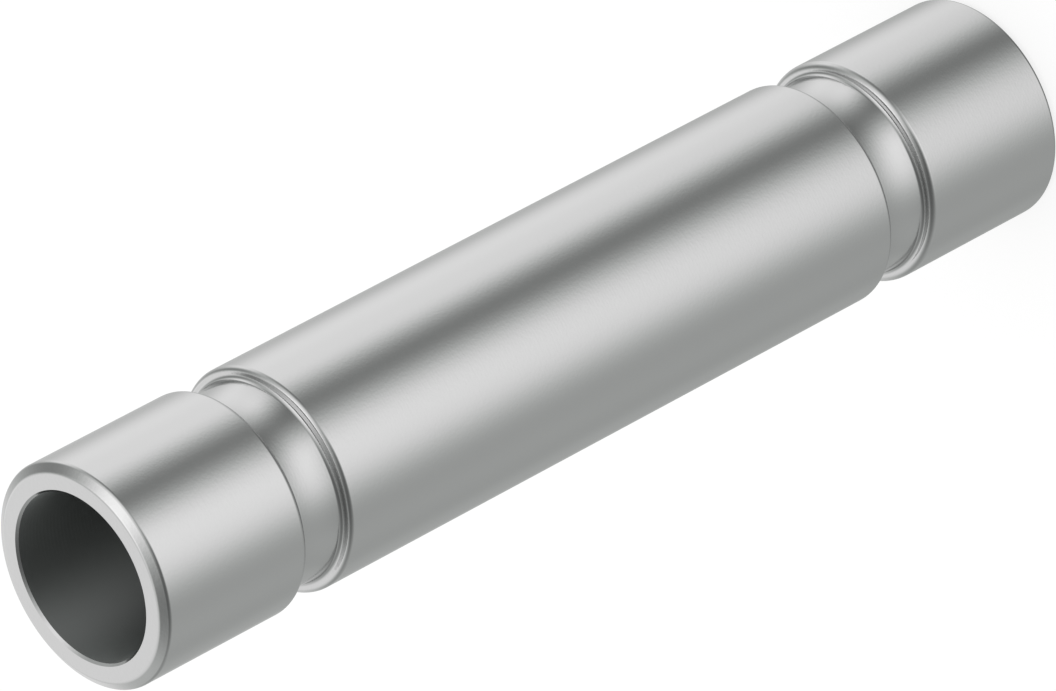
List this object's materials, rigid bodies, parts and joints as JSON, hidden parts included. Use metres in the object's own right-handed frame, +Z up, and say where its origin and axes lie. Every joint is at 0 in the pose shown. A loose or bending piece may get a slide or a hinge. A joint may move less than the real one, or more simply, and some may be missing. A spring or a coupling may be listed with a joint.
{
  "type": "push-in fitting stem",
  "caption": "Turned metal tube stem that joins two push-in fittings: a plug end with a retaining groove at each end and a plain through bore.",
  "frame": {"origin": "centre of the lower end face, on the stem's axis", "axes": "+Z up along the stem's axis, from the lower end face to the upper one"},
  "size_m": [0.008, 0.008, 0.0418],
  "materials": {
    "turned_metal": "fine satin, bead-blasted after turning"
  },
  "bodies": {
    "root": {"stem": "turned_metal"}
  },
  "joints": []
}
